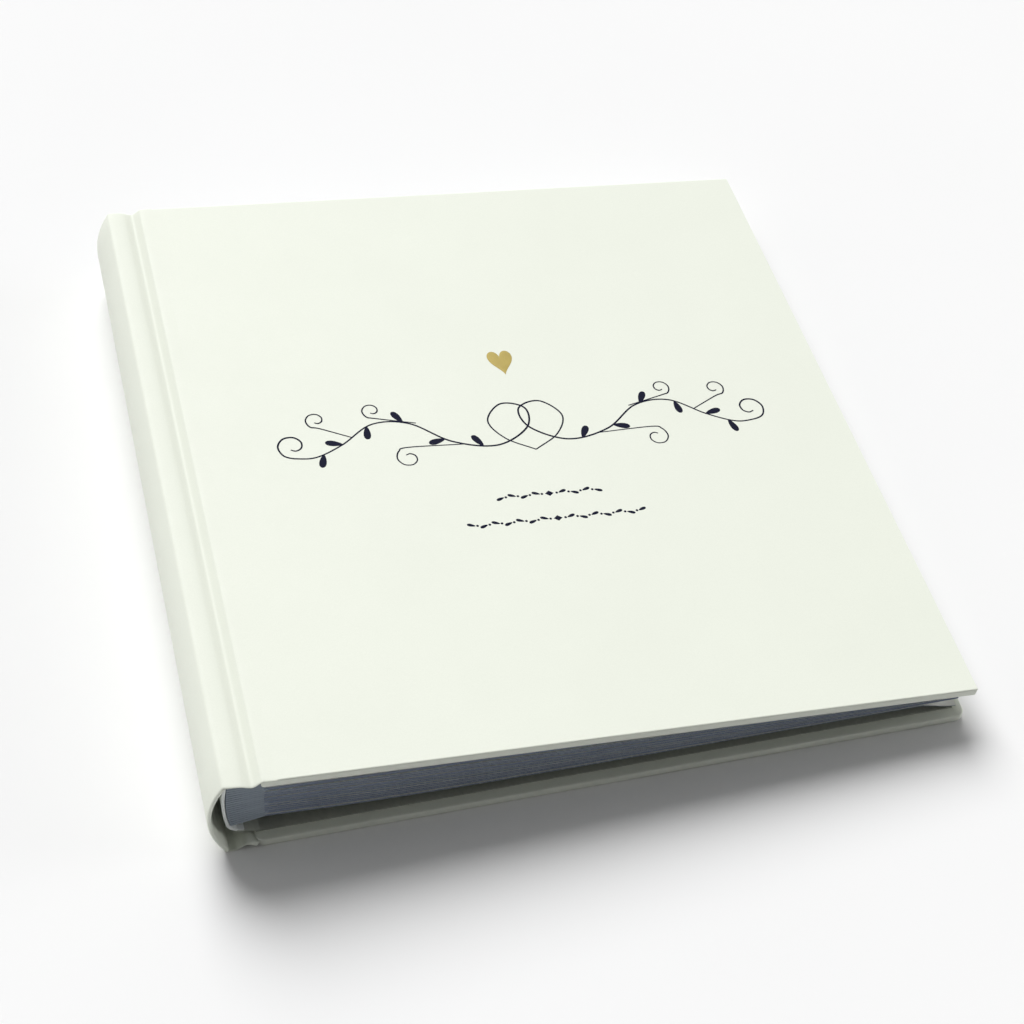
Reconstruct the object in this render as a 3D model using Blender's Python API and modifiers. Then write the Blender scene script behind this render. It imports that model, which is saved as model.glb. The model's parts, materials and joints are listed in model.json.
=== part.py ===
"""Wedding guest book: a case-bound book of card leaves on guards, lying closed on its back cover.

Lengths in this file are in millimetres and become metres where a mesh is made. A place in the
book's section is (u, z): u runs from the outermost line of the rounded spine to the fore-edge,
and z runs up from the surface the book lies on. The tail of the book is at -Y, its head at +Y.
"""
import math

import bmesh
import bpy
from mathutils import Matrix, Vector

MM = 0.001

# Driving dimensions.
BOOK_WIDTH = 212.5
BOOK_HEIGHT = 220.0
SPINE_HEIGHT = 29.0
FORE_EDGE_HEIGHT = 14.0
SPINE_BULGE = 4.2
JOINT_WIDTH = 10.0
GREYBOARD = 2.0
COVER_PAPER = 0.25
ENDPAPER = 0.15
SQUARE = 3.0
TURN_IN = 15.0
SHEET_COUNT = 20
LEAF_THICKNESS = 0.15
GUARD_THICKNESS = 0.78
GUARD_EDGE_U = 16.0
FIT_GAP = 0.05

# Sizes worked out from them.
BOARD_EDGE_U = SPINE_BULGE + JOINT_WIDTH
COVER_THICKNESS = GREYBOARD + 2.0 * (COVER_PAPER + FIT_GAP)
LEAF_FORE_EDGE_U = BOOK_WIDTH - SQUARE
TAIL_Y = -BOOK_HEIGHT / 2.0
HEAD_Y = BOOK_HEIGHT / 2.0

# The back cover was glued on a little nearer the spine than the front one.
BACK_BOARD_EDGE_U = BOARD_EDGE_U - 2.0
BACK_FORE_EDGE_U = BOOK_WIDTH - 1.0

# The front cover turns on a line level with its outer face, in the groove beside the board.
FRONT_HINGE_U = BOARD_EDGE_U - 4.0
FRONT_HINGE_Z = SPINE_HEIGHT + 0.6
COVER_DROP = FRONT_HINGE_Z - FORE_EDGE_HEIGHT
COVER_WEDGE = math.atan2(COVER_DROP, BOOK_WIDTH - FRONT_HINGE_U)
COVER_REACH = (BOOK_WIDTH - FRONT_HINGE_U) / math.cos(COVER_WEDGE)

# The book block and the spine roll together on the lower corner of the spine.
BACK_HINGE_U = 2.0
BACK_HINGE_Z = 3.0

# The rounded spine is a shallow arc through its two shoulders.
SPINE_FOOT_Z = 0.1
SPINE_CHORD = SPINE_HEIGHT - SPINE_FOOT_Z
SPINE_MID_Z = (SPINE_HEIGHT + SPINE_FOOT_Z) / 2.0
SPINE_RADIUS = (SPINE_CHORD ** 2 / 4.0 + SPINE_BULGE ** 2) / (2.0 * SPINE_BULGE)
SPINE_HALF_ANGLE = math.asin(SPINE_CHORD / 2.0 / SPINE_RADIUS)
SPINE_CARD = 0.5
SPINE_DEPTH = SPINE_CARD + 2.0 * (COVER_PAPER + FIT_GAP)

# The stack of sheets is thick on its guards and thin at the fore-edge.
HINGE_CREASE = 0.1
LEAF_START_U = GUARD_EDGE_U + 2.0 * HINGE_CREASE
STACK_CLEARANCE = 0.4
STACK_FOOT_AT_GUARDS = 9.1
STACK_FOOT_AT_FORE_EDGE = 6.0
STACK_FOOT_EASE = 6.0
ROOT_LOW_Z = 7.0
ROOT_HIGH_Z = 26.4
ROOT_MID_U = 5.2
ROOT_ROUNDING = 1.0
LAST_SHEET_DROOP = 2.7
DROOP_START_U = 197.0

WHITE_PAPER = ((0.86, 0.88, 0.82), 0.42)
INNER_PAPER = ((0.88, 0.88, 0.84), 0.75)
LEAF_CARD = ((0.90, 0.90, 0.87), 0.80)
GUARD_CARD = ((0.80, 0.82, 0.80), 0.85)
GREY_CARD = ((0.45, 0.44, 0.40), 0.90)
LINING_PAPER = ((0.72, 0.74, 0.72), 0.90)


def new_collection(name):
    collection = bpy.data.collections.new(name)
    bpy.context.scene.collection.children.link(collection)
    return collection


def clear_scene():
    for obj in list(bpy.data.objects):
        bpy.data.objects.remove(obj, do_unlink=True)


def material(name, look):
    colour, roughness = look
    mat = bpy.data.materials.new(name)
    mat.use_nodes = True
    shader = mat.node_tree.nodes["Principled BSDF"]
    shader.inputs["Base Color"].default_value = (*colour, 1.0)
    shader.inputs["Roughness"].default_value = roughness
    shader.inputs["Metallic"].default_value = 0.0
    return mat


def place(u, z, y=0.0):
    """World place, in metres, of a point given in the book's section."""
    return Vector(((u - BOOK_WIDTH / 2.0) * MM, y * MM, z * MM))


def empty_at(name, u, z, collection, tilt=0.0):
    empty = bpy.data.objects.new(name, None)
    empty.location = place(u, z)
    empty.rotation_euler = (0.0, tilt, 0.0)
    empty.empty_display_size = 0.01
    collection.objects.link(empty)
    return empty


def add_object(name, bm, collection, look=None):
    mesh = bpy.data.meshes.new(name)
    bm.to_mesh(mesh)
    bm.free()
    obj = bpy.data.objects.new(name, mesh)
    collection.objects.link(obj)
    if look is not None:
        mesh.materials.append(material(name, look))
    return obj


def make_cutter(obj):
    obj.hide_render = True
    obj.display_type = "WIRE"
    return obj


def attach(obj, parent, origin):
    """Hang an object on a parent, with its mesh given from the origin that the parent stands on."""
    obj.parent = parent
    obj.location = origin


def box(name, low, high, collection, look=None):
    """A box between two corners, in millimetres from the object's origin."""
    low, high = Vector(low) * MM, Vector(high) * MM
    bm = bmesh.new()
    size = Matrix.Diagonal((*(high - low), 1.0))
    bmesh.ops.create_cube(bm, size=1.0, matrix=Matrix.Translation((low + high) / 2.0) @ size)
    return add_object(name, bm, collection, look)


def sheet(name, profile, y_low, y_high, thickness, collection, look=None):
    """A line in the section, drawn out along the spine and given an even thickness about it."""
    bm = bmesh.new()
    corners = [bm.verts.new((u * MM, y_low * MM, z * MM)) for u, z in profile]
    edges = [bm.edges.new(pair) for pair in zip(corners, corners[1:])]
    drawn = bmesh.ops.extrude_edge_only(bm, edges=edges)["geom"]
    moved = [item for item in drawn if isinstance(item, bmesh.types.BMVert)]
    bmesh.ops.translate(bm, verts=moved, vec=(0.0, (y_high - y_low) * MM, 0.0))
    obj = add_object(name, bm, collection, look)
    shell = obj.modifiers.new("thickness", "SOLIDIFY")
    shell.thickness = thickness * MM
    shell.offset = 0.0
    shell.use_even_offset = True
    return obj


def cut(obj, cutter):
    boolean = obj.modifiers.new("cut " + cutter.name, "BOOLEAN")
    boolean.operation = "DIFFERENCE"
    boolean.solver = "EXACT"
    boolean.object = cutter


def cover(side, parent, origin, near_x, far_x, inner_sign, parts, cutters):
    """One cover: its board, the covering paper turned in over the edges, and the pastedown.

    The outer face is at the origin's height and the cover's thickness runs towards inner_sign.
    """
    def slab(z_near, z_far):
        return sorted((inner_sign * z_near, inner_sign * z_far))

    skin = COVER_PAPER
    board_z = slab(skin + FIT_GAP, skin + FIT_GAP + GREYBOARD)
    pocket_z = slab(skin, skin + GREYBOARD + 2.0 * FIT_GAP)
    window_z = slab(skin + GREYBOARD, COVER_THICKNESS + 1.0)
    wrap_z = slab(0.0, COVER_THICKNESS)
    paste_z = slab(COVER_THICKNESS + FIT_GAP, COVER_THICKNESS + FIT_GAP + ENDPAPER)
    rim = skin + FIT_GAP

    board = box(side + "_board", (near_x + rim, TAIL_Y + rim, board_z[0]),
                (far_x - rim, HEAD_Y - rim, board_z[1]), parts, GREY_CARD)
    wrap = box(side + "_cover_wrap", (near_x, TAIL_Y, wrap_z[0]),
               (far_x, HEAD_Y, wrap_z[1]), parts, WHITE_PAPER)
    pocket = make_cutter(box(side + "_pocket", (near_x + skin, TAIL_Y + skin, pocket_z[0]),
                             (far_x - skin, HEAD_Y - skin, pocket_z[1]), cutters))
    window = make_cutter(box(side + "_window", (near_x + 4.0, TAIL_Y + TURN_IN, window_z[0]),
                             (far_x - TURN_IN, HEAD_Y - TURN_IN, window_z[1]), cutters))
    paste = box(side + "_pastedown", (near_x + 0.5, TAIL_Y + SQUARE, paste_z[0]),
                (far_x - SQUARE, HEAD_Y - SQUARE, paste_z[1]), parts, INNER_PAPER)
    for obj in (board, wrap, pocket, window, paste):
        attach(obj, parent, origin)
    cut(wrap, pocket)
    cut(wrap, window)


def spine_arc(depth, trim=0.0, steps=12):
    """Points up the rounded spine, at a depth under its outer face and trimmed at both ends."""
    radius = SPINE_RADIUS - depth
    half = SPINE_HALF_ANGLE - trim / radius
    angles = [half * (2.0 * step / steps - 1.0) for step in range(steps + 1)]
    return [(SPINE_RADIUS - radius * math.cos(a), SPINE_MID_Z + radius * math.sin(a)) for a in angles]


def from_back_hinge(profile):
    return [(u - BACK_HINGE_U, z - BACK_HINGE_Z) for u, z in profile]


def spine(parent, parts, cutters):
    """The rounded spine: covering paper turned in at head and tail over a card stiffener."""
    skin = COVER_PAPER
    rim = skin + FIT_GAP
    middle = SPINE_DEPTH / 2.0
    wrap = sheet("spine_wrap", from_back_hinge(spine_arc(middle)), TAIL_Y, HEAD_Y,
                 SPINE_DEPTH, parts, WHITE_PAPER)
    card = sheet("spine_stiffener", from_back_hinge(spine_arc(middle, 1.0)), TAIL_Y + rim,
                 HEAD_Y - rim, SPINE_CARD, parts, GREY_CARD)
    pocket = sheet("spine_pocket", from_back_hinge(spine_arc(middle, 0.8)), TAIL_Y + skin,
                   HEAD_Y - skin, SPINE_CARD + 2.0 * FIT_GAP, cutters)
    window = sheet("spine_window", from_back_hinge(spine_arc(SPINE_DEPTH, 2.0)), TAIL_Y + TURN_IN,
                   HEAD_Y - TURN_IN, 2.0 * SPINE_DEPTH / 3.0, cutters)
    for obj in (wrap, card, pocket, window):
        attach(obj, parent, (0.0, 0.0, 0.0))
    for cutter in (pocket, window):
        cut(wrap, make_cutter(cutter))


def joint_strip(name, board_edge, heights, collection):
    """The bare paper between spine and board, pressed into a groove beside the board."""
    start = SPINE_BULGE + 0.9
    end = board_edge - 0.5
    shares = (0.0, 0.28, 0.48, 0.64, 0.80, 1.0)
    places = [start + (end - start) * share for share in shares]
    strip = sheet(name, list(zip(places, heights)), TAIL_Y, HEAD_Y, 0.35, collection, WHITE_PAPER)
    strip.location = place(0.0, 0.0)
    return strip


def stack_foot(u):
    """Underside of the stack of sheets, which sinks a little from the guards to the fore-edge."""
    along = (u - LEAF_START_U) / (LEAF_FORE_EDGE_U - LEAF_START_U)
    rise = STACK_FOOT_AT_GUARDS - STACK_FOOT_AT_FORE_EDGE
    return STACK_FOOT_AT_FORE_EDGE + rise * (1.0 - along) ** STACK_FOOT_EASE


def stack_top(u):
    """Upper side of the stack, which lies along the inner face of the front cover."""
    inner = (COVER_THICKNESS + STACK_CLEARANCE) / math.cos(COVER_WEDGE)
    return FRONT_HINGE_Z - (u - FRONT_HINGE_U) * math.tan(COVER_WEDGE) - inner


def sheet_height(index, u):
    """Height of the middle of one sheet; index 0 is the lowest."""
    share = (index + 0.5) / SHEET_COUNT
    return stack_foot(u) + (stack_top(u) - stack_foot(u)) * share


def droop(index, u):
    """The lowest sheet bends down on to the back cover beside its fore-edge."""
    if index > 0 or u < DROOP_START_U:
        return 0.0
    bend = (u - DROOP_START_U) / (LEAF_FORE_EDGE_U - DROOP_START_U)
    return LAST_SHEET_DROOP * bend * bend * (3.0 - 2.0 * bend)


def sheet_name(index):
    """Sheets are counted from the front of the book, between its two flyleaves."""
    if index == SHEET_COUNT - 1:
        return "front_flyleaf"
    if index == 0:
        return "back_flyleaf"
    return "leaf_%02d" % (SHEET_COUNT - 1 - index)


def leaf(index, parent, parts):
    """One sheet, from its crease beside the guard to the fore-edge, with its origin on the crease."""
    hinge_u = GUARD_EDGE_U + HINGE_CREASE
    hinge_z = sheet_height(index, hinge_u)
    span = DROOP_START_U - LEAF_START_U
    places = [LEAF_START_U + span * step / 8.0 for step in range(9)]
    last_span = LEAF_FORE_EDGE_U - DROOP_START_U
    last_steps = 6 if index == 0 else 1
    places += [DROOP_START_U + last_span * (step + 1) / last_steps for step in range(last_steps)]
    profile = [(u - hinge_u, sheet_height(index, u) - droop(index, u) - hinge_z) for u in places]
    obj = sheet(sheet_name(index), profile, TAIL_Y + SQUARE, HEAD_Y - SQUARE,
                LEAF_THICKNESS, parts, LEAF_CARD)
    attach(obj, parent, ((hinge_u - BACK_HINGE_U) * MM, 0.0, (hinge_z - BACK_HINGE_Z) * MM))


def root_of_guard(index):
    """Bound edge of a guard, on the lightly rounded back of the block."""
    share = (index + 0.5) / SHEET_COUNT
    across = 2.0 * share - 1.0
    return ROOT_MID_U + ROOT_ROUNDING * across ** 2, ROOT_LOW_Z + (ROOT_HIGH_Z - ROOT_LOW_Z) * share


def guard(index, parent, parts):
    """The folded card strip that one sheet hangs from."""
    root = root_of_guard(index)
    edge = (GUARD_EDGE_U, sheet_height(index, GUARD_EDGE_U))
    inset = SQUARE + 0.2
    obj = sheet("guard_%02d" % (SHEET_COUNT - index), from_back_hinge([root, edge]), TAIL_Y + inset,
                HEAD_Y - inset, GUARD_THICKNESS, parts, GUARD_CARD)
    attach(obj, parent, (0.0, 0.0, 0.0))


def spine_lining(parent, parts):
    """The thick paper glued down the back of the block, curling under it towards the back cover."""
    thickness = 0.8
    steps = 8
    gap = 0.25 + thickness / 2.0
    middle = (ROOT_LOW_Z + ROOT_HIGH_Z) / 2.0
    profile = []
    for step in range(steps + 1):
        across = 1.0 - 2.0 * step / steps
        height = middle + across * (ROOT_HIGH_Z - ROOT_LOW_Z) / 2.0
        profile.append((ROOT_MID_U + ROOT_ROUNDING * across ** 2 - gap, height))
    profile += [(6.5, 5.6), (7.8, 4.6), (9.6, 4.2)]
    inset = SQUARE + 0.2
    obj = sheet("spine_lining", from_back_hinge(profile), TAIL_Y + inset, HEAD_Y - inset,
                thickness, parts, LINING_PAPER)
    attach(obj, parent, (0.0, 0.0, 0.0))


def build_book():
    clear_scene()
    parts = new_collection("wedding_guest_book")
    cutters = new_collection("cutters")

    root = empty_at("back_cover_frame", 0.0, 0.0, parts)
    block = empty_at("book_block_hinge", BACK_HINGE_U, BACK_HINGE_Z, parts)
    front = empty_at("front_cover_hinge", FRONT_HINGE_U, FRONT_HINGE_Z, parts, COVER_WEDGE)

    near = (BOARD_EDGE_U - FRONT_HINGE_U) / math.cos(COVER_WEDGE)
    cover("front", front, (0.0, 0.0, 0.0), near, COVER_REACH, -1.0, parts, cutters)
    cover("back", root, (0.0, 0.0, 0.0), BACK_BOARD_EDGE_U, BACK_FORE_EDGE_U, 1.0, parts, cutters)

    spine(block, parts, cutters)
    spine_lining(block, parts)
    for index in range(SHEET_COUNT):
        guard(index, block, parts)
        leaf(index, block, parts)

    top = SPINE_HEIGHT
    front_heights = (top - 0.2, top - 0.3, top - 1.1, top - 2.0, top - 1.6, top - 0.3)
    joint_strip("front_joint", BOARD_EDGE_U, front_heights, parts)
    joint_strip("back_joint", BACK_BOARD_EDGE_U, (0.3, 0.4, 1.2, 1.9, 1.5, 0.4), parts)


build_book()
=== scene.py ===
"""The looks of a square wedding guest book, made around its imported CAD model.

Every place comes from the frame: X runs from the spine to the fore-edge, Y from tail to head
and Z up from the table. Lengths here are metres, written as a number of MM.
"""
import json
import math
import random

import bmesh
import bpy
from mathutils import Matrix, Vector, noise

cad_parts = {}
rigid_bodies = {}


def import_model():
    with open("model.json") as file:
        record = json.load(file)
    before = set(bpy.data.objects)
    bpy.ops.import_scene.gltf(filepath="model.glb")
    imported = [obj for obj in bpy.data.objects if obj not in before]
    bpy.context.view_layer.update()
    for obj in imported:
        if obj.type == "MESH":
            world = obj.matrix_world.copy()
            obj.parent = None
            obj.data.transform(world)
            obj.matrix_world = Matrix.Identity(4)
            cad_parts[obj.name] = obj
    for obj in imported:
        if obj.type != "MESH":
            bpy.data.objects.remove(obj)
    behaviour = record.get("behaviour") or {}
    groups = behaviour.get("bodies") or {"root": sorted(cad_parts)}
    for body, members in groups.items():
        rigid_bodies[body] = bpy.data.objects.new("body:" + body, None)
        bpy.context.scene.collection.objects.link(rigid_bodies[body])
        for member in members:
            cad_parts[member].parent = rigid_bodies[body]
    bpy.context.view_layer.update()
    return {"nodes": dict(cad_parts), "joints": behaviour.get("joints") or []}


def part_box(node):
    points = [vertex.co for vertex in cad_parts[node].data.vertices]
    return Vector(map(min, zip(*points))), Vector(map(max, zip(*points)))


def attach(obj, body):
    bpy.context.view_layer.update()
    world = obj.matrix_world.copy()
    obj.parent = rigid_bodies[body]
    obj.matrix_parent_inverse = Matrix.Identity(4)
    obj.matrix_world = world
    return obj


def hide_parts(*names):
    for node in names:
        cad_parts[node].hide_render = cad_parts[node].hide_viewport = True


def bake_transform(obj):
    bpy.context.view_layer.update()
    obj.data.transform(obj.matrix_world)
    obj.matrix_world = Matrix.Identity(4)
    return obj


for leftover in list(bpy.data.objects):
    bpy.data.objects.remove(leftover)

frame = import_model()

MM = 0.001
HAIR = 0.01 * MM

# The camera stands where the photograph was taken from, measured from the middle of the book's foot.
CAMERA_PLACE = Vector((-135.29, -403.13, 468.43)) * MM
CAMERA_HEADING = math.radians(19.05)
CAMERA_LOOK_DOWN = math.radians(48.45)
CAMERA_ROLL = math.radians(6.0)
CAMERA_LENS = 73.76

# The covers are greyboard wrapped in paper, so their edges are soft.
BOARD_EDGE_RADIUS = 0.45 * MM
FRONT_CORNER_RADIUS = 0.7 * MM
BACK_CORNER_RADIUS = 2.6 * MM
BOARD_SWELL = 0.07 * MM
BOARD_SWELLS_PER_METRE = 22.0
BOARD_SWELL_SEED = 3.7
GRID_STEP = 8.0 * MM

# Under each pastedown the turned-in cover paper ends in a low step.
PASTEDOWN_INSET = 3.0 * MM
PASTEDOWN_GAP = 0.06 * MM
TURN_IN = 15.0 * MM
TURN_IN_STEP = 0.108 * MM
TURN_IN_RAMP = 1.2 * MM
TURN_IN_GRID = 0.6 * MM

# The cover paper runs from the spine over the shoulder and down into the groove. It lies a little
# above the CAD's strip on the shoulder's side, so its slope is gentle there and steep by the board.
GROOVE_LIFTS = (0.22 * MM, 0.05 * MM, 0.45 * MM, 0.75 * MM, 0.10 * MM, -0.20 * MM)
WRAP_THICKNESS = 0.35 * MM

# The same strip is thick down the spine, thins over ten steps of its path and laps onto the board.
SPINE_SHELL_THICKNESS = 1.1 * MM
SPINE_SHELL_FADE = 10
BOARD_LAP = 3.0 * MM
BOARD_LAP_THICKNESS = 0.1 * MM

# Its way over the front board's edge: millimetres along the cover from that edge, and over its face.
BOARD_LAP_ROUTE = ((-0.6, -0.6), (0.05, -0.06), (0.9, 0.07), (2.4, 0.06), (4.0, 0.02))
STRIP_END_RADIUS = 0.8 * MM

ENDPAPER_THICKNESS = 0.14 * MM
ENDPAPER_FOLD_THICKNESS = 0.1 * MM
ENDPAPER_FOLD_GAP = 0.27 * MM

# Each leaf is glued to its guard along a narrow tab and creases beside it.
LEAF_TAB = 1.0 * MM
LEAF_UNEVENNESS = 0.35 * MM
LEAF_FILL = 0.84
STACK_WAVE = 0.10 * MM

# Print stands a hair above the cover, and each stroke climbs a little so it can cross itself.
PRINT_HEIGHT = 0.03 * MM
PRINT_BURIED = 0.05 * MM
STROKE_CLIMB = 0.006 * MM

# The floor runs out of sight, a hair below the book's foot.
FLOOR_REACH = 40.0
FLOOR_DROP = 0.02 * MM


# ---------------------------------------------------------------- materials

class Nodes:
    """A small helper that adds shader nodes to one material and wires them up."""

    def __init__(self, name):
        self.material = bpy.data.materials.new(name)
        self.material.use_nodes = True
        self.tree = self.material.node_tree
        self.shader = self.tree.nodes["Principled BSDF"]
        self.place = self.add("ShaderNodeTexCoord").outputs["Object"]

    def add(self, kind, **settings):
        node = self.tree.nodes.new(kind)
        for key, value in settings.items():
            setattr(node, key, value)
        return node

    def link(self, source, target):
        self.tree.links.new(source, target)

    def stretched(self, scale):
        """Object coordinates in metres, multiplied by a number of repeats per metre on each axis."""
        mapping = self.add("ShaderNodeMapping")
        mapping.inputs["Scale"].default_value = scale
        self.link(self.place, mapping.inputs["Vector"])
        return mapping.outputs["Vector"]

    def noise(self, scale, detail=3.0, roughness=0.55):
        texture = self.add("ShaderNodeTexNoise")
        texture.inputs["Scale"].default_value = 1.0
        texture.inputs["Detail"].default_value = detail
        texture.inputs["Roughness"].default_value = roughness
        self.link(self.stretched(scale), texture.inputs["Vector"])
        return texture.outputs["Fac"]

    def spread(self, source, low, high):
        """The noise between its usual ends, 0.3 and 0.7, moved to between low and high."""
        span = self.add("ShaderNodeMapRange")
        span.inputs["From Min"].default_value = 0.3
        span.inputs["From Max"].default_value = 0.7
        span.inputs["To Min"].default_value = low
        span.inputs["To Max"].default_value = high
        self.link(source, span.inputs["Value"])
        return span.outputs["Result"]

    def mix(self, share, first, second):
        """A colour between two, where each is a colour or another node's output."""
        mixer = self.add("ShaderNodeMix", data_type="RGBA")
        for socket, value in ((mixer.inputs[6], first), (mixer.inputs[7], second)):
            if isinstance(value, tuple):
                socket.default_value = (*value, 1.0)
            else:
                self.link(value, socket)
        self.link(share, mixer.inputs["Factor"])
        return mixer.outputs[2]

    def bump(self, source, depth, before=None):
        bump = self.add("ShaderNodeBump")
        bump.inputs["Distance"].default_value = depth
        self.link(source, bump.inputs["Height"])
        if before is not None:
            self.link(before, bump.inputs["Normal"])
        return bump.outputs["Normal"]


def even(repeats):
    return (repeats, repeats, repeats)


def cover_paper(name, colour, shade):
    """Satin printed paper: a faint mottle in its tone and a very fine tooth."""
    n = Nodes(name)
    mottle = n.noise(even(35.0), detail=2.0)
    tooth = n.noise(even(2600.0), detail=2.0)
    pulp = n.noise(even(420.0), detail=4.0)
    tone = n.mix(n.spread(mottle, 0.0, 1.0), colour, shade)
    speck = n.mix(n.spread(tooth, 0.0, 0.35), tone, tuple(0.93 * part for part in shade))
    n.link(speck, n.shader.inputs["Base Color"])
    n.link(n.spread(pulp, 0.48, 0.58), n.shader.inputs["Roughness"])
    n.shader.inputs["Specular IOR Level"].default_value = 0.30
    n.link(n.bump(tooth, 0.012 * MM, n.bump(pulp, 0.02 * MM)), n.shader.inputs["Normal"])
    return n.material


def matt_paper(name, colour, shade, streaks, roughness=0.8, fibre=0.02 * MM):
    """Uncoated paper or card with long fibres that lie along its streaks."""
    n = Nodes(name)
    fibres = n.noise(streaks, detail=4.0)
    cloud = n.noise(even(60.0), detail=3.0)
    tone = n.mix(n.spread(cloud, 0.0, 0.7), colour, shade)
    n.link(n.mix(n.spread(fibres, 0.0, 0.55), tone, tuple(0.84 * part for part in shade)),
           n.shader.inputs["Base Color"])
    n.link(n.spread(fibres, roughness - 0.06, roughness + 0.06), n.shader.inputs["Roughness"])
    n.shader.inputs["Specular IOR Level"].default_value = 0.25
    n.link(n.bump(fibres, fibre), n.shader.inputs["Normal"])
    return n.material


def printed_ink(name, colour):
    """Dark ink with a little of the paper's tooth showing through."""
    n = Nodes(name)
    wear = n.noise(even(1800.0), detail=3.0)
    n.link(n.mix(n.spread(wear, 0.0, 0.5), colour, tuple(1.8 * part for part in colour)),
           n.shader.inputs["Base Color"])
    n.link(n.spread(wear, 0.62, 0.78), n.shader.inputs["Roughness"])
    n.shader.inputs["Specular IOR Level"].default_value = 0.08
    n.link(n.bump(wear, 0.01 * MM), n.shader.inputs["Normal"])
    return n.material


def gold_foil(name, colour, shade):
    """Muted gold foil, pressed into the paper, with a fine brushed grain."""
    n = Nodes(name)
    grain = n.noise((2400.0, 700.0, 2400.0), detail=3.0)
    cloud = n.noise(even(260.0), detail=2.0)
    tone = n.mix(n.spread(cloud, 0.0, 1.0), colour, shade)
    n.link(n.mix(n.spread(grain, 0.0, 0.4), tone, shade), n.shader.inputs["Base Color"])
    n.link(n.spread(grain, 0.38, 0.55), n.shader.inputs["Roughness"])
    n.shader.inputs["Metallic"].default_value = 0.25
    n.link(n.bump(grain, 0.01 * MM), n.shader.inputs["Normal"])
    return n.material


def floor_paint(name):
    """A plain pale floor with hardly any tone of its own."""
    n = Nodes(name)
    cloud = n.noise(even(6.0), detail=2.0)
    n.link(n.mix(n.spread(cloud, 0.0, 1.0), (0.89, 0.89, 0.89), (0.88, 0.88, 0.88)),
           n.shader.inputs["Base Color"])
    n.link(n.spread(cloud, 0.8, 0.9), n.shader.inputs["Roughness"])
    n.shader.inputs["Specular IOR Level"].default_value = 0.1
    return n.material


COVER_PAPER = cover_paper("cover_paper_satin", (0.808, 0.838, 0.745), (0.793, 0.823, 0.73))
# The endpaper is pale paper; its dull olive grey here is painted shade, for the shadow in the gap under the
# leaves.
ENDPAPER_PAINTED_SHADE = matt_paper("endpaper_matt_painted_shade", (0.45, 0.47, 0.42), (0.41, 0.43, 0.38), even(900.0))
LEAF_CARD = matt_paper("leaf_card_white", (0.84, 0.85, 0.82), (0.81, 0.82, 0.79), even(700.0),
                       roughness=0.78, fibre=0.012 * MM)
# The leaves' cut edges are the same white card as their faces; their dark blue grey is painted shade, for
# the shade between the sheets and under the cover.
LEAF_EDGE_PAINTED_SHADE = matt_paper("leaf_edge_painted_shade", (0.20, 0.235, 0.30), (0.16, 0.19, 0.25), (90.0, 90.0, 2600.0),
                       roughness=0.85)
# The guard stubs are pale card; their blue grey is painted shade, for the shadow they lie in under the
# front cover.
GUARD_CARD_PAINTED_SHADE = matt_paper("guard_card_painted_shade", (0.30, 0.345, 0.40), (0.26, 0.30, 0.35), (40.0, 40.0, 1600.0))
LINING_PAPER = matt_paper("lining_kraft_grey", (0.86, 0.89, 0.88), (0.80, 0.83, 0.82),
                          (700.0, 250.0, 700.0))
GREYBOARD = matt_paper("greyboard_fibre", (0.40, 0.40, 0.37), (0.34, 0.34, 0.31), even(1100.0),
                       roughness=0.9, fibre=0.05 * MM)
INK = printed_ink("navy_ink", (0.006, 0.007, 0.022))
GOLD = gold_foil("gold_foil", (0.385, 0.295, 0.060), (0.345, 0.262, 0.052))


# ---------------------------------------------------------------- mesh helpers

def add_piece(name, points, faces, material, sharp_from=50.0, rim=None):
    """A mesh object with outward faces, smooth except where its faces meet at a sharp angle.

    Where it has a rim of another material, rim gives that material and the number of faces before it.
    """
    mesh = bpy.data.meshes.new(name)
    mesh.from_pydata(points, [], faces)
    bm = bmesh.new()
    bm.from_mesh(mesh)
    bmesh.ops.recalc_face_normals(bm, faces=bm.faces)
    for face in bm.faces:
        face.smooth = True
    bm.to_mesh(mesh)
    bm.free()
    mesh.set_sharp_from_angle(angle=math.radians(sharp_from))
    mesh.materials.append(material)
    if rim:
        mesh.materials.append(rim[0])
        for polygon in mesh.polygons[rim[1]:]:
            polygon.material_index = 1
    piece = bpy.data.objects.new(name, mesh)
    bpy.context.scene.collection.objects.link(piece)
    return piece


def steps(first, last, spacing):
    """Evenly spaced values from first to last, no further apart than the spacing."""
    count = max(1, math.ceil(abs(last - first) / spacing))
    return [first + (last - first) * i / count for i in range(count + 1)]


def smooth_through(points, parts=8):
    """A smooth curve through the points, with the given number of parts between neighbours."""
    points = [Vector(p) for p in points]
    ends = [2 * points[0] - points[1], *points, 2 * points[-1] - points[-2]]
    curve = []
    for p0, p1, p2, p3 in zip(ends, ends[1:], ends[2:], ends[3:]):
        for step in range(parts):
            t = step / parts
            pull = (p2 - p0) * t + (2 * p0 - 5 * p1 + 4 * p2 - p3) * t ** 2
            pull += (3 * p1 - p0 - 3 * p2 + p3) * t ** 3
            curve.append(p1 + pull / 2)
    curve.append(points[-1])
    return curve


def normals_of(path):
    """For each point of a path in the section, the direction to the left of its travel."""
    found = []
    for i in range(len(path)):
        ahead = path[min(i + 1, len(path) - 1)] - path[max(i - 1, 0)]
        found.append(Vector((-ahead.y, ahead.x)).normalized())
    return found


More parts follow.
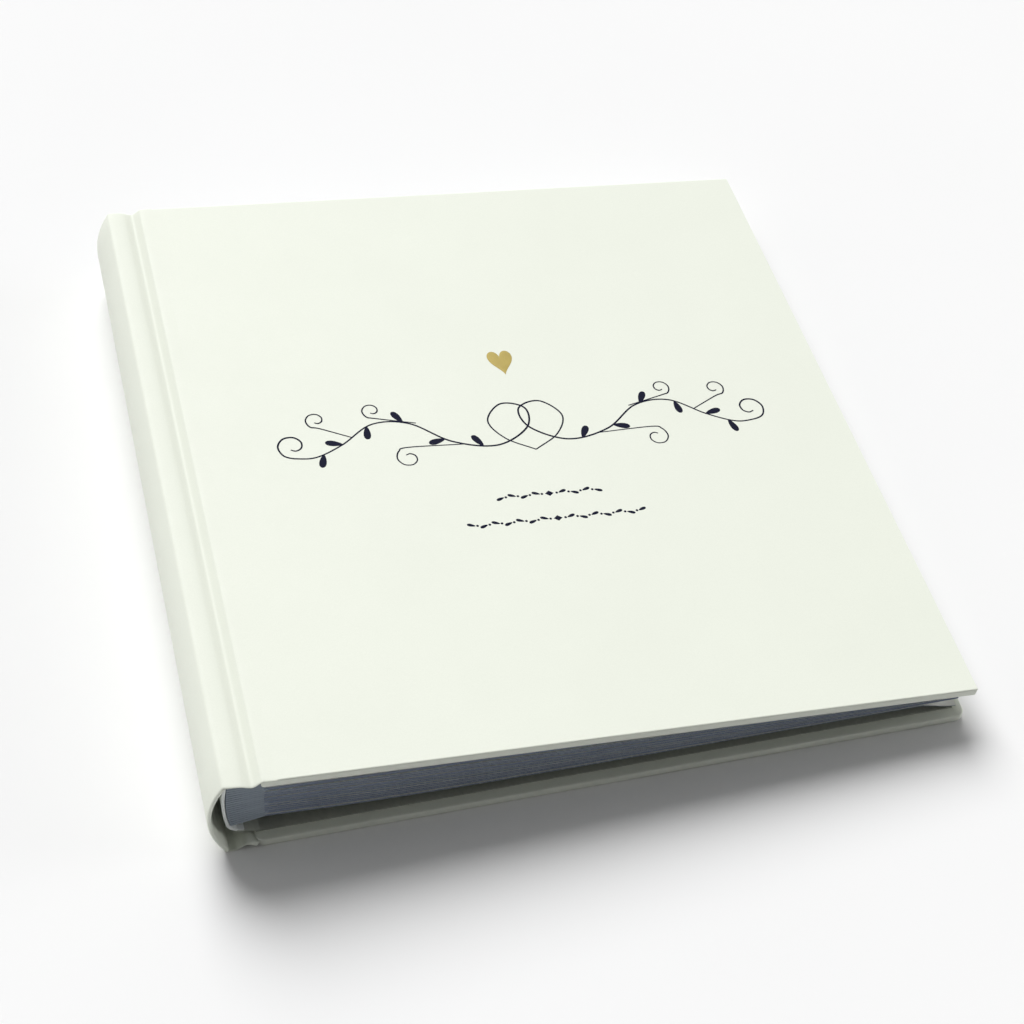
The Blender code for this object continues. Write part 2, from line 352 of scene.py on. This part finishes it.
def shell(name, upper, lower, material, rim_material=None):
    """A closed thin solid from two matching grids of points, joined along their rims."""
    rows = len(upper)
    columns = len(upper[0])
    points = [point for side in (upper, lower) for row in side for point in row]

    def at(side, i, j):
        return (side * rows + i) * columns + j

    faces = []
    for side in (0, 1):
        for i in range(rows - 1):
            for j in range(columns - 1):
                corners = ((i, j), (i + 1, j), (i + 1, j + 1), (i, j + 1))
                faces.append([at(side, *corner) for corner in corners])
    before_rim = len(faces)
    for j in (0, columns - 1):
        for i in range(rows - 1):
            faces.append((at(0, i, j), at(0, i + 1, j), at(1, i + 1, j), at(1, i, j)))
    for i in (0, rows - 1):
        for j in range(columns - 1):
            faces.append((at(0, i, j), at(0, i, j + 1), at(1, i, j + 1), at(1, i, j)))
    return add_piece(name, points, faces, material, rim=(rim_material or material, before_rim))


def drawn_sheet(name, path, y_places, thickness, material, lift=None, rim_material=None):
    """A path in the section, drawn out along Y as a sheet of even or changing thickness."""
    thick = thickness if callable(thickness) else lambda i: thickness
    upper = []
    lower = []
    for i, (middle, normal) in enumerate(zip(path, normals_of(path))):
        half = normal * thick(i) / 2
        over = middle + half
        under = middle - half
        raised = [lift(middle.x, y) if lift else 0.0 for y in y_places]
        upper.append([(over.x, y, over.y + up) for y, up in zip(y_places, raised)])
        lower.append([(under.x, y, under.y + up) for y, up in zip(y_places, raised)])
    return shell(name, upper, lower, material, rim_material)


def mid_line(node):
    """The middle of a CAD sheet's section, as (x, z) points from the spine to the fore-edge."""
    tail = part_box(node)[0].y
    corners = frame["nodes"][node].data.vertices
    ends = sorted({(round(v.co.x, 6), round(v.co.z, 6)) for v in corners if v.co.y < tail + HAIR})
    return [(Vector(a) + Vector(b)) / 2 for a, b in zip(ends[::2], ends[1::2])]


def box_skin(xs, ys, zs):
    """Points and faces of a box's skin, with its grid lines at the given places."""
    axes = (xs, ys, zs)
    index = {}
    faces = []
    for fixed in range(3):
        across, along = [axis for axis in range(3) if axis != fixed]
        for end in (axes[fixed][0], axes[fixed][-1]):
            for a0, a1 in zip(axes[across], axes[across][1:]):
                for b0, b1 in zip(axes[along], axes[along][1:]):
                    face = []
                    for a, b in ((a0, b0), (a1, b0), (a1, b1), (a0, b1)):
                        point = [end, end, end]
                        point[across] = a
                        point[along] = b
                        face.append(index.setdefault(tuple(point), len(index)))
                    faces.append(face)
    return list(index), faces


def rounded(across, up):
    """Moves a place that lies beyond a corner's centre from the square onto the round."""
    offset = Vector((across, up))
    return offset.normalized() * max(across, up) if offset.length > 0 else offset


# ---------------------------------------------------------------- covers

class Cover:
    """One cover: where its outer face lies, and how far it reaches from the hinge side."""

    def __init__(self, origin, along, out, near, far, thickness, tail, head):
        self.origin = origin
        self.along = along
        self.out = out
        self.near = near
        self.far = far
        self.thickness = thickness
        self.tail = tail
        self.head = head
        self.middle = (near + far) / 2

    def at(self, along, y, out):
        """A place from a distance along the cover, a Y and a height over its outer face."""
        return self.origin + self.along * along + Vector((0.0, y, 0.0)) + self.out * out


def swell(along, y):
    """The slight unevenness of a pasted board."""
    across = Vector((along, y, 0.0)) * BOARD_SWELLS_PER_METRE
    return BOARD_SWELL * noise.noise(across + Vector((0.0, 0.0, BOARD_SWELL_SEED)))


def joint_place(name):
    found = next(joint for joint in frame["joints"] if joint["name"] == name)
    return Vector(found["pos_m"])


def front_cover_frame():
    """The front cover slopes down from its hinge: its highest and furthest corners give the slope."""
    corners = [v.co for v in frame["nodes"]["front_cover_wrap"].data.vertices]
    top = max(corners, key=lambda p: p.z)
    tip = max(corners, key=lambda p: p.x)
    inner = min(corners, key=lambda p: p.z)
    along = Vector((tip.x - top.x, 0.0, tip.z - top.z)).normalized()
    out = Vector((-along.z, 0.0, along.x))
    origin = joint_place("front_cover_hinge")
    origin.y = 0.0
    low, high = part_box("front_cover_wrap")
    thickness = (tip - inner).dot(out)
    near = (top - origin).dot(along)
    far = (tip - origin).dot(along)
    return Cover(origin, along, out, near, far, thickness, low.y, high.y)


def flat_frame(node):
    """The back cover, or the greyboard in it, lies flat with its outer face down."""
    low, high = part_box(node)
    right = Vector((1.0, 0.0, 0.0))
    down = Vector((0.0, 0.0, -1.0))
    return Cover(Vector((0.0, 0.0, low.z)), right, down, low.x, high.x, high.z - low.z, low.y, high.y)


def edge_lines(half, corner, edge):
    """Grid lines across a board: wide apart in the middle, close together round its edges."""
    flat = steps(0.0, half - corner, GRID_STEP)
    bend = steps(half - corner, half - edge, corner / 3)[1:] if corner > edge else []
    turn = steps(half - edge, half, edge / 4)[1:]
    side = flat + bend + turn
    return [-place for place in reversed(side[1:])] + side


def board(name, cover, corner_radius, material):
    """A board with rounded corners in plan, soft edges and slightly uneven faces."""
    half_length = (cover.far - cover.near) / 2
    half_width = (cover.head - cover.tail) / 2
    half_depth = cover.thickness / 2
    edge = BOARD_EDGE_RADIUS
    depth_lines = edge_lines(half_depth, edge, edge)
    length_lines = edge_lines(half_length, corner_radius, edge)
    width_lines = edge_lines(half_width, corner_radius, edge)
    flat_points, faces = box_skin(length_lines, width_lines, depth_lines)
    points = []
    for x, y, z in flat_points:
        past_length = max(abs(x) - half_length + corner_radius, 0.0)
        past_width = max(abs(y) - half_width + corner_radius, 0.0)
        inner = Vector((past_length, past_width))
        reach = max(inner)
        over = rounded(max(reach - corner_radius + edge, 0.0), max(abs(z) - half_depth + edge, 0.0))
        depth = min(abs(z), half_depth - edge) + over.y
        spread = min(reach, corner_radius - edge) + over.x
        plan = inner.normalized() * spread if inner.length > 0 else inner
        place_x = math.copysign(min(abs(x), half_length - corner_radius) + plan.x, x)
        place_y = math.copysign(min(abs(y), half_width - corner_radius) + plan.y, y)
        along = cover.middle + place_x
        y_place = (cover.tail + cover.head) / 2 + place_y
        height = math.copysign(depth, z) - half_depth + swell(along, y_place)
        points.append(cover.at(along, y_place, height))
    return add_piece(name, points, faces, material)


def pastedown(name, cover, node):
    """The endpaper on the inside, raised a little where the cover paper is turned in beneath it."""
    low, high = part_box(node)
    if cover.along.z:
        near = (low - cover.origin).x / cover.along.x
        far = (high - cover.origin).x / cover.along.x
    else:
        near, far = low.x, high.x
    along_places = steps(near, far - TURN_IN, GRID_STEP) + steps(far - TURN_IN, far, TURN_IN_GRID)[1:]
    rim = steps(low.y, low.y + TURN_IN, TURN_IN_GRID)
    y_places = rim + steps(rim[-1], -rim[-1], GRID_STEP)[1:-1] + [-y for y in reversed(rim)]
    under = -cover.thickness - PASTEDOWN_GAP
    upper = []
    lower = []
    for along in along_places:
        upper.append([])
        lower.append([])
        for y in y_places:
            inwards = min(far - along, y - low.y, high.y - y)
            past_edge = TURN_IN - PASTEDOWN_INSET - inwards
            share = min(max(past_edge / TURN_IN_RAMP + 0.5, 0.0), 1.0)
            relief = TURN_IN_STEP * share * share * (3 - 2 * share)
            base = under + swell(along, y)
            upper[-1].append(cover.at(along, y, base))
            lower[-1].append(cover.at(along, y, base - ENDPAPER_THICKNESS - relief))
    # The pastedown takes the endpaper's darkened colour, which is painted shade.
    return shell(name, upper, lower, ENDPAPER_PAINTED_SHADE)


front = front_cover_frame()
back = flat_frame("back_cover_wrap")


def make_covers():
    for side, cover, radius in (("front", front, FRONT_CORNER_RADIUS), ("back", back, BACK_CORNER_RADIUS)):
        panel = board(side + "_cover_paper", cover, radius, COVER_PAPER)
        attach(panel, side + "_cover")
        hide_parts(side + "_cover_wrap")
        lined = pastedown(side + "_pastedown_paper", cover, side + "_pastedown")
        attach(lined, side + "_cover")
        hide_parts(side + "_pastedown")

    # The CAD's greyboards have square corners, which fit inside the front cover's only.
    frame["nodes"]["front_board"].data.materials[0] = GREYBOARD
    core = board("back_greyboard", flat_frame("back_board"), BACK_CORNER_RADIUS - WRAP_THICKNESS, GREYBOARD)
    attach(core, "back_cover")
    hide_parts("back_board")


# ---------------------------------------------------------------- spine and joints

def spine_corners():
    """The foot, the outermost line and the top of the spine's outer face, as (x, z)."""
    corners = [v.co for v in frame["nodes"]["spine_wrap"].data.vertices]
    foot = min(corners, key=lambda p: p.z)
    outermost = min(corners, key=lambda p: p.x)
    top = max(corners, key=lambda p: p.z)
    return [Vector((p.x, p.z)) for p in (foot, outermost, top)]


def spine_arc(parts=40):
    """The outer face of the spine as an arc from its foot to its top."""
    foot, outermost, top = spine_corners()
    half_chord = (top.y - foot.y) / 2
    bulge = foot.x - outermost.x
    radius = (half_chord ** 2 + bulge ** 2) / (2 * bulge)
    half_angle = math.asin(half_chord / radius)
    centre = Vector((outermost.x + radius, (top.y + foot.y) / 2))
    angles = [-half_angle + 2 * half_angle * i / parts for i in range(parts + 1)]
    return [centre + radius * Vector((-math.cos(angle), math.sin(angle))) for angle in angles]


def shoulder_path():
    """The outer face of the cover paper from the spine's top, over the ridge and groove, onto the board."""
    groove = []
    for point, lift in zip(mid_line("front_joint")[:-1], GROOVE_LIFTS):
        groove.append(point + Vector((0.0, WRAP_THICKNESS / 2 + lift)))
    places = [front.at(front.near + along * MM, 0.0, out * MM) for along, out in BOARD_LAP_ROUTE]
    return groove + [Vector((place.x, place.z)) for place in places]


def wrapped_strip(name, outer, thickness, y_low, y_high):
    """Cover paper along an outer path; its two ends are turned in round a soft edge."""
    rows = normals_of(outer)
    turn = STRIP_END_RADIUS
    inset = [turn * (1 - math.cos(math.radians(angle))) for angle in (0, 22, 45, 68, 90)]
    y_places = [y_low + value for value in inset] + steps(y_low + turn, y_high - turn, GRID_STEP)[1:-1]
    y_places += [y_high - value for value in reversed(inset)]
    upper = []
    lower = []
    for i, (point, normal) in enumerate(zip(outer, rows)):
        thick = thickness(i)
        upper.append([])
        lower.append([])
        for y in y_places:
            past = max(turn - (y - y_low), turn - (y_high - y), 0.0) / turn
            full = math.sqrt(max(1.0 - past ** 2, 0.0))
            drop = thick / 2 * (1.0 - full)
            over = point - normal * drop
            under = point - normal * (thick - drop)
            upper[-1].append((over.x, y, over.y))
            lower[-1].append((under.x, y, under.y))
    return shell(name, upper, lower, COVER_PAPER)


def make_spine():
    """Spine and front joint are one length of paper, made as one piece."""
    arc = spine_arc()
    path = smooth_through([arc[-2], arc[-1], *shoulder_path()], 6)[6:]
    outer = arc[:-1] + path
    board_edge = front.at(front.near, 0.0, 0.0).x

    def thickness(i):
        share = min(max((i - len(arc) + 1) / SPINE_SHELL_FADE, 0.0), 1.0)
        on_board = min(max((outer[i].x - board_edge) / BOARD_LAP, 0.0), 1.0)
        full = SPINE_SHELL_THICKNESS + (WRAP_THICKNESS - SPINE_SHELL_THICKNESS) * share
        return full + (BOARD_LAP_THICKNESS - full) * on_board

    low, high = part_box("spine_wrap")
    strip = wrapped_strip("spine_and_front_joint_paper", outer, thickness, low.y, high.y)
    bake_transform(strip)
    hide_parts("spine_wrap", "front_joint")
    frame["nodes"]["spine_stiffener"].data.materials[0] = GREYBOARD


def make_back_joint():
    """The same paper under the book. Its turn-in fills the corner beside the board's edge."""
    line = mid_line("back_joint")
    foot = spine_corners()[0]
    round_the_foot = foot + Vector((-0.2, 0.25)) * MM
    path = [round_the_foot] + line
    outer = smooth_through([point - Vector((0.0, WRAP_THICKNESS / 2)) for point in path], 5)
    outer.reverse()
    low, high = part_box("back_joint")
    ridge = max(line, key=lambda p: p.y)
    board_side = line[-1]
    below_face = 0.1 * MM
    fill = back.thickness - below_face - outer[0].y

    def thickness(i):
        share = min(max((outer[i].x - ridge.x) / (board_side.x - ridge.x), 0.0), 1.0)
        return WRAP_THICKNESS + (fill - WRAP_THICKNESS) * share

    strip = wrapped_strip("back_joint_paper", outer, thickness, low.y, high.y)
    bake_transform(strip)
    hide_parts("back_joint")


# ---------------------------------------------------------------- book block

def stack_wave(x, y):
    """All the leaves share one slow wave, so none of them meets its neighbour."""
    low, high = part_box("leaf_01")
    free = (x - low.x) / (high.x - low.x)
    return STACK_WAVE * max(free, 0.0) * math.sin(y * 34.0 + 0.6) * math.sin(x * 21.0 + 1.1)


def leaf_thickness(path):
    """Leaves swell where they stand apart at their guards, so the closed stack looks as full as it is."""
    top = mid_line("front_flyleaf")
    foot = mid_line("leaf_18")
    gaps = sum(node.startswith("leaf_") for node in frame["nodes"])
    near_pitch = (top[0].y - foot[0].y) / gaps
    far_pitch = (top[-1].y - foot[-1].y) / gaps

    def thickness(i):
        share = min(max((path[i].x - top[0].x) / (top[-1].x - top[0].x), 0.0), 1.0)
        return LEAF_FILL * (near_pitch + (far_pitch - near_pitch) * share)

    return thickness


def make_leaf(name, chance):
    """One leaf, from the tab on its guard to its cut fore-edge, creased where it turns."""
    hinge = joint_place(name + "_turn")
    line = mid_line(name)
    start = line[0]
    slope = (line[1] - line[0]).normalized()
    tab_length = start.x - hinge.x + LEAF_TAB
    tab = [start - slope * inwards for inwards in steps(tab_length, 0.1 * MM, 0.15 * MM)]
    trim = slope * (chance.random() * LEAF_UNEVENNESS)
    body = smooth_through([*line[:-1], line[-1] - trim], 3)
    low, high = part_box(name)
    tail = low.y + chance.random() * LEAF_UNEVENNESS
    head = high.y - chance.random() * LEAF_UNEVENNESS
    y_places = steps(tail, head, 2 * GRID_STEP)
    bend = [start + slope * ahead for ahead in (0.15 * MM, 0.3 * MM, 0.45 * MM, 0.7 * MM, 1.2 * MM)]
    path = tab + [body[0]] + bend + body[1:]
    thickness = leaf_thickness(path)
    # The leaf's rim gets the dark blue grey of its edges, which is painted shade.
    piece = drawn_sheet(name + "_sheet", path, y_places, thickness, LEAF_CARD, stack_wave, LEAF_EDGE_PAINTED_SHADE)
    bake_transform(piece)
    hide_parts(name)


def make_block():
    chance = random.Random(7)
    for node in sorted(frame["nodes"]):
        if node.startswith("leaf_") or node.endswith("_flyleaf"):
            make_leaf(node, chance)
        if node.startswith("guard_"):
            # Each guard gets the blue grey painted shade.
            frame["nodes"][node].data.materials[0] = GUARD_CARD_PAINTED_SHADE
    frame["nodes"]["spine_lining"].data.materials[0] = LINING_PAPER


def make_endpaper_folds():
    """The endpapers cross from each pastedown to the book block and bend at its hinge."""
    low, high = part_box("front_pastedown")
    y_places = steps(low.y, high.y, 2 * GRID_STEP)
    guard = mid_line("guard_01")
    above_guard = Vector((0.0, 0.43 * MM))
    on_guard = [guard[0].lerp(guard[-1], share) + above_guard for share in (0.12, 0.3)]
    inside = -front.thickness - ENDPAPER_FOLD_GAP
    landing = [front.at(front.near + ahead * MM, 0.0, inside) for ahead in (0.6, 2.5, 5.0)]
    path = smooth_through(on_guard + [Vector((p.x, p.z)) for p in landing], 7)
    fold = drawn_sheet("front_endpaper_fold", path, y_places, ENDPAPER_FOLD_THICKNESS, ENDPAPER_PAINTED_SHADE)
    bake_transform(fold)

    lining_foot = max((v.co for v in frame["nodes"]["spine_lining"].data.vertices), key=lambda p: p.x)
    inside = back.thickness + ENDPAPER_FOLD_GAP
    on_board = [Vector((back.near + ahead * MM, inside)) for ahead in (6.0, 3.5, 1.5)]
    under_block = [Vector((lining_foot.x, lining_foot.z - 0.3 * MM)),
                   Vector((lining_foot.x - 2.0 * MM, lining_foot.z))]
    path = smooth_through(on_board + under_block, 7)
    fold = drawn_sheet("back_endpaper_fold", path, y_places, ENDPAPER_FOLD_THICKNESS, ENDPAPER_PAINTED_SHADE)
    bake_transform(fold)


# ---------------------------------------------------------------- decoration

def on_cover(point, height):
    """A place on the front cover from an (across, up) point measured from the board's middle."""
    along = front.middle + point.x
    return front.at(along, point.y, swell(along, point.y) + height)


def stroke(path, width, height):
    """Points and faces of one pen stroke: a thin ribbon that swells and narrows along its path."""
    last = len(path) - 1
    points = []
    faces = []
    for i, (middle, normal) in enumerate(zip(path, normals_of(path))):
        half = normal * width(i / last) / 2
        rise = height + STROKE_CLIMB * i / last
        points += [on_cover(middle + half, -PRINT_BURIED), on_cover(middle + half, rise),
                   on_cover(middle - half, rise), on_cover(middle - half, -PRINT_BURIED)]
    for i in range(last):
        for k in range(4):
            nearer = 4 * i + k
            beside = 4 * i + (k + 1) % 4
            faces.append((nearer, beside, beside + 4, nearer + 4))
    faces += [(0, 1, 2, 3), (4 * last, 4 * last + 1, 4 * last + 2, 4 * last + 3)]
    return points, faces


def joined(shapes):
    """One list of points and faces from several."""
    points = []
    faces = []
    for more_points, more_faces in shapes:
        faces += [[index + len(points) for index in face] for face in more_faces]
        points += more_points
    return points, faces


def blob(outline, height):
    """A slightly domed flat shape inside an outline, such as a leaf, a dot or a heart."""
    centre = sum(outline, Vector((0.0, 0.0))) / len(outline)
    count = len(outline)
    points = [on_cover(point, -PRINT_BURIED) for point in outline]
    rings = ((1.0, 0.55), (0.86, 0.9), (0.45, 1.0))
    for scale, lift in rings:
        points += [on_cover(centre + (point - centre) * scale, height * lift) for point in outline]
    points.append(on_cover(centre, height))
    faces = []
    for ring in range(len(rings)):
        start = ring * count
        for i in range(count):
            j = (i + 1) % count
            faces.append((start + i, start + j, start + count + j, start + count + i))
    last_ring = len(rings) * count
    faces += [(last_ring + i, last_ring + (i + 1) % count, len(points) - 1) for i in range(count)]
    faces.append(list(range(count)))
    return points, faces


def mirrored(path):
    return [Vector((-point.x, point.y)) for point in path]


def pen(share):
    """The pen's width: fine at both ends of a stroke, fuller where it bears down."""
    return (0.40 + 0.28 * math.sin(math.pi * share) * (0.6 + 0.4 * math.sin(9.0 * share))) * MM


def sprig_leaf(foot, angle, length):
    """An almond-shaped leaf that grows from its foot at an angle."""
    ahead = Vector((math.cos(angle), math.sin(angle)))
    aside = Vector((-ahead.y, ahead.x))
    outline = []
    for i in range(16):
        turn = 2 * math.pi * i / 16
        along = (1 - math.cos(turn)) / 2
        belly = math.sin(turn) * 0.20 * (1 - 0.35 * math.cos(turn))
        outline.append(foot + ahead * length * along + aside * length * belly)
    return blob(outline, PRINT_HEIGHT)


def curl(start_x, start_y, centre_x, centre_y, radius, turn):
    """A stem that runs to the rim of a circle and winds inwards; turn is 1 for anticlockwise."""
    points = [(start_x, start_y)]
    for step in range(9):
        angle = turn * math.radians(-100.0 + 50.0 * step)
        reach = radius * (1.0 - 0.085 * step)
        points.append((centre_x + reach * math.cos(angle), centre_y + reach * math.sin(angle)))
    return points


def make_flourish():
    """A mirrored pen flourish with leaves, in the place of the names."""
    centre = Vector((0.0, 2.5)) * MM
    half_stem = [(0, -9), (8, -3.5), (11.5, 4), (6, 10.5), (-1, 8), (0.5, 0), (11, -6), (24, -3), (35, 5.5)]
    half_stem += [(46, 6.5), (56, -0.5), *curl(64, -4.5, 70.5, 0.5, 5.2, 1)]
    tendrils = [curl(20, -4.5, 38, -8, 4.2, -1),
                curl(33, 5.5, 45, 12, 3.4, 1),
                curl(53, 2.0, 62, 10, 3.6, 1)]
    leaf_places = [(0.32, 0.9), (0.36, -0.9), (0.41, 0.8), (0.46, -0.9), (0.50, 0.8), (0.54, -0.9)]
    shapes = []
    for flip in (list, mirrored):
        paths = [[Vector(p) * MM for p in stem] for stem in (half_stem, *tendrils)]
        for layer, path in enumerate(paths):
            line = [centre + point for point in flip(smooth_through(path, 12))]
            width = pen if layer == 0 else lambda share: 0.75 * pen(share)
            height = PRINT_HEIGHT * (1 + 0.3 * layer + (0.15 if flip is mirrored else 0.0))
            shapes.append(stroke(line, width, height))
            if layer == 0:
                for share, lean in leaf_places:
                    i = int(share * (len(line) - 1))
                    ahead = line[i + 1] - line[i]
                    side = lean if flip is list else -lean
                    shapes.append(sprig_leaf(line[i], math.atan2(ahead.y, ahead.x) + side, 5.2 * MM))
    piece = add_piece("cover_flourish_print", *joined(shapes), INK)
    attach(piece, "front_cover")


def make_small_rows():
    """Two short printed rules of leaves and dots about a diamond, in the place of the small print."""
    middle = Vector((-0.8, 0.0)) * MM
    rows = ((-24.0 * MM, 4), (-33.6 * MM, 7))
    pitch = 3.6 * MM
    dot_radius = 0.40 * MM
    for number, (height, pairs) in enumerate(rows, 1):
        foot = middle + Vector((0.0, height))
        diamond = [foot + 1.3 * MM * Vector((math.cos(turn), 0.8 * math.sin(turn)))
                   for turn in (0.0, math.pi / 2, math.pi, 3 * math.pi / 2)]
        shapes = [blob(diamond, PRINT_HEIGHT)]
        for side in (1, -1):
            for i in range(1, pairs + 1):
                place = foot + Vector((side * i * pitch, 0.0))
                turns = [2 * math.pi * k / 12 for k in range(12)]
                dot = [place - Vector((side * pitch * 0.38, 0.0))
                       + dot_radius * Vector((math.cos(turn), math.sin(turn))) for turn in turns]
                shapes.append(blob(dot, PRINT_HEIGHT))
                outwards = 0.0 if side > 0 else math.pi
                lean = side * math.radians(20.0 if i % 2 else -20.0)
                shapes.append(sprig_leaf(place - Vector((side * 0.8 * MM, 0.0)), outwards + lean, 2.5 * MM))
        piece = add_piece("cover_small_row_%d" % number, *joined(shapes), INK)
        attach(piece, "front_cover")


def make_heart():
    """A small plain heart in gold foil, leaning a little."""
    centre = Vector((-1.2, 29.9)) * MM
    lean = Matrix.Rotation(math.radians(1.0), 2)
    width = 7.8 * MM / 32.0
    height = 10.2 * MM / 29.0
    outline = []
    for i in range(64):
        turn = 2 * math.pi * i / 64
        across = 16.0 * math.sin(turn) ** 3
        up = 13.0 * math.cos(turn) - 5.0 * math.cos(2 * turn)
        up -= 2.0 * math.cos(3 * turn) + math.cos(4 * turn)
        up += 1.2 * math.sin(turn) ** 4
        outline.append(centre + lean @ Vector((across * width, (up + 2.5) * height)))
    outline.reverse()
    piece = add_piece("cover_heart_foil", *blob(outline, 0.05 * MM), GOLD)
    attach(piece, "front_cover")


# ---------------------------------------------------------------- studio

def add_sun(name, towards, width, strength):
    """A wide, soft light from one direction, which lights the whole floor evenly."""
    data = bpy.data.lights.new(name, "SUN")
    data.angle = width
    data.energy = strength
    lamp = bpy.data.objects.new(name, data)
    lamp.rotation_euler = towards.to_track_quat("Z", "Y").to_euler()
    bpy.context.scene.collection.objects.link(lamp)


def make_floor():
    reach = FLOOR_REACH
    points = [(-reach, -reach, 0.0), (reach, -reach, 0.0), (reach, reach, 0.0), (-reach, reach, 0.0)]
    mesh = bpy.data.meshes.new("floor")
    mesh.from_pydata(points, [], [(0, 1, 2, 3)])
    mesh.materials.append(floor_paint("floor_paint"))
    floor = bpy.data.objects.new("floor", mesh)
    floor.location.z = -FLOOR_DROP
    bpy.context.scene.collection.objects.link(floor)


def sky_ramp(tree, source, start, end, low, high):
    """A smooth change of brightness along one direction of the sky."""
    span = tree.nodes.new("ShaderNodeMapRange")
    span.interpolation_type = "SMOOTHSTEP"
    span.inputs["From Min"].default_value = start
    span.inputs["From Max"].default_value = end
    span.inputs["To Min"].default_value = low
    span.inputs["To Max"].default_value = high
    tree.links.new(source, span.inputs["Value"])
    return span.outputs["Result"]


def combined(tree, operation, first, second):
    """One number from two, by a Math node."""
    node = tree.nodes.new("ShaderNodeMath")
    node.operation = operation
    tree.links.new(first, node.inputs[0])
    tree.links.new(second, node.inputs[1])
    return node.outputs[0]


def make_sky():
    """Soft light from all round: bright behind the book and along the horizon there, dim in front."""
    world = bpy.data.worlds.new("studio")
    world.use_nodes = True
    tree = world.node_tree
    place = tree.nodes.new("ShaderNodeTexCoord")
    split = tree.nodes.new("ShaderNodeSeparateXYZ")
    tree.links.new(place.outputs["Generated"], split.inputs["Vector"])
    behind = sky_ramp(tree, split.outputs["Y"], -0.8, 0.8, 0.03, 0.36)
    band = sky_ramp(tree, split.outputs["Z"], 0.12, 0.26, 1.0, 0.0)
    horizon = sky_ramp(tree, split.outputs["Y"], -0.5, 0.3, 0.28, 0.85)
    pale = combined(tree, "MULTIPLY", band, horizon)
    strength = combined(tree, "MAXIMUM", behind, pale)
    tree.links.new(strength, tree.nodes["Background"].inputs["Strength"])
    tree.nodes["Background"].inputs["Color"].default_value = (1.0, 1.0, 1.0, 1.0)
    bpy.context.scene.world = world


def make_studio():
    make_floor()
    make_sky()
    add_sun("behind", towards=Vector((-0.40, 2.60, 2.60)), width=math.radians(42.0), strength=3.55)
    add_sun("left", towards=Vector((-1.30, 0.25, 0.40)), width=math.radians(40.0), strength=0.25)
    add_sun("right", towards=Vector((1.30, -0.12, 0.25)), width=math.radians(30.0), strength=0.90)
    scene = bpy.context.scene
    scene.view_settings.view_transform = "Standard"
    data = bpy.data.cameras.new("camera")
    data.lens = CAMERA_LENS
    data.clip_start = 0.01
    camera = bpy.data.objects.new("camera", data)
    heading = Matrix.Rotation(-CAMERA_HEADING, 4, "Z")
    pitch = Matrix.Rotation(math.pi / 2 - CAMERA_LOOK_DOWN, 4, "X")
    roll = Matrix.Rotation(CAMERA_ROLL, 4, "Z")
    camera.matrix_world = Matrix.Translation(CAMERA_PLACE) @ heading @ pitch @ roll
    scene.collection.objects.link(camera)
    scene.camera = camera


make_studio()
make_covers()
make_spine()
make_back_joint()
make_block()
make_endpaper_folds()
make_flourish()
make_small_rows()
make_heart()
